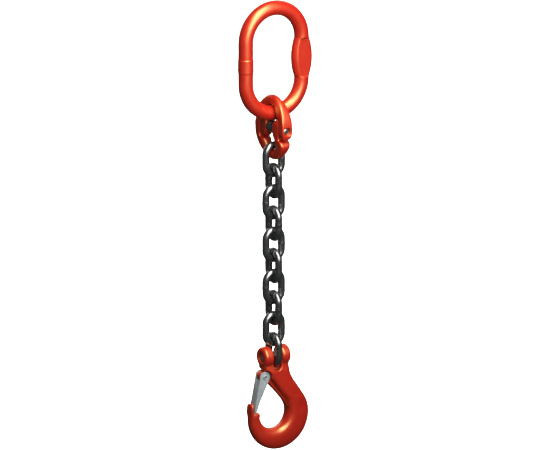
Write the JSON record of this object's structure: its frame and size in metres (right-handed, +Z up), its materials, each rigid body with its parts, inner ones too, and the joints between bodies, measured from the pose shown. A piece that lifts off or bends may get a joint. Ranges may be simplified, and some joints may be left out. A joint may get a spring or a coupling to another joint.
{
  "type": "chain sling with clevis hook",
  "caption": "Lifting chain sling: oblong master link, two-half coupling link, round-wire chain and a clevis hook with a sprung latch.",
  "frame": {"origin": "the crane-hook seat: the inside top of the master link, on the chain's line", "axes": "+Z up along the chain; the master link and the hook lie in the XZ plane, the coupling link in the YZ plane, and the hook's tip points to -X"},
  "size_m": [0.12, 0.0738, 0.6562],
  "materials": {
    "paint": "glossy red-orange paint on forged steel",
    "chain": "semi-gloss black on steel chain",
    "zinc": "dull zinc plate on pressed steel",
    "pin_steel": "turned steel",
    "spring_steel": "bright spring steel"
  },
  "bodies": {
    "master": {"master_link": "paint"},
    "coupler_upper": {"coupler_upper_half": "paint", "coupler_load_pin": "pin_steel", "coupler_locking_sleeve": "chain"},
    "coupler_lower": {"coupler_lower_half": "paint"},
    "link_01": {"chain_link_01": "chain"},
    "link_02": {"chain_link_02": "chain"},
    "link_03": {"chain_link_03": "chain"},
    "link_04": {"chain_link_04": "chain"},
    "link_05": {"chain_link_05": "chain"},
    "link_06": {"chain_link_06": "chain"},
    "link_07": {"chain_link_07": "chain"},
    "link_08": {"chain_link_08": "chain"},
    "link_09": {"chain_link_09": "chain"},
    "link_10": {"chain_link_10": "chain"},
    "hook": {"hook_body": "paint", "clevis_load_pin": "pin_steel", "clevis_retaining_pin": "spring_steel", "latch_pivot_pin": "zinc", "latch_spring": "spring_steel"},
    "latch": {"latch": "zinc"}
  },
  "joints": [
    {"name": "coupler_swing", "type": "hinge", "parent": "master", "child": "coupler_upper", "pos_m": [0, 0, -0.1405], "axis": [1, 0, 0], "range_deg": [-75, 75]},
    {"name": "coupler_fold", "type": "hinge", "parent": "coupler_upper", "child": "coupler_lower", "pos_m": [0, 0, -0.1613], "axis": [0, 1, 0], "range_deg": [-60, 60]},
    {"name": "link_01_swing", "type": "hinge", "parent": "coupler_lower", "child": "link_01", "pos_m": [0, 0, -0.20045], "axis": [0, 1, 0], "range_deg": [-75, 75]},
    {"name": "link_02_swing", "type": "hinge", "parent": "link_01", "child": "link_02", "pos_m": [0, 0, -0.2292], "axis": [1, 0, 0], "range_deg": [-75, 75]},
    {"name": "link_03_swing", "type": "hinge", "parent": "link_02", "child": "link_03", "pos_m": [0, 0, -0.2602], "axis": [0, -1, 0], "range_deg": [-75, 75]},
    {"name": "link_04_swing", "type": "hinge", "parent": "link_03", "child": "link_04", "pos_m": [0, 0, -0.2912], "axis": [-1, 0, 0], "range_deg": [-75, 75]},
    {"name": "link_05_swing", "type": "hinge", "parent": "link_04", "child": "link_05", "pos_m": [0, 0, -0.3222], "axis": [0, 1, 0], "range_deg": [-75, 75]},
    {"name": "link_06_swing", "type": "hinge", "parent": "link_05", "child": "link_06", "pos_m": [0, 0, -0.3532], "axis": [1, 0, 0], "range_deg": [-75, 75]},
    {"name": "link_07_swing", "type": "hinge", "parent": "link_06", "child": "link_07", "pos_m": [0, 0, -0.3842], "axis": [0, -1, 0], "range_deg": [-75, 75]},
    {"name": "link_08_swing", "type": "hinge", "parent": "link_07", "child": "link_08", "pos_m": [0, 0, -0.4152], "axis": [-1, 0, 0], "range_deg": [-75, 75]},
    {"name": "link_09_swing", "type": "hinge", "parent": "link_08", "child": "link_09", "pos_m": [0, 0, -0.4462], "axis": [0, 1, 0], "range_deg": [-75, 75]},
    {"name": "link_10_swing", "type": "hinge", "parent": "link_09", "child": "link_10", "pos_m": [0, 0, -0.4772], "axis": [1, 0, 0], "range_deg": [-75, 75]},
    {"name": "hook_swing", "type": "hinge", "parent": "link_10", "child": "hook", "pos_m": [0, 0, -0.4961], "axis": [1, 0, 0], "range_deg": [-75, 75]},
    {"name": "latch_hinge", "type": "hinge", "parent": "hook", "child": "latch", "pos_m": [-0.019, 0, -0.5238], "axis": [0, -1, 0], "range_deg": [0, 40], "stiffness_Nm_per_rad": 0.15, "springref_deg": -40.11, "deforming": ["latch_spring"]}
  ]
}
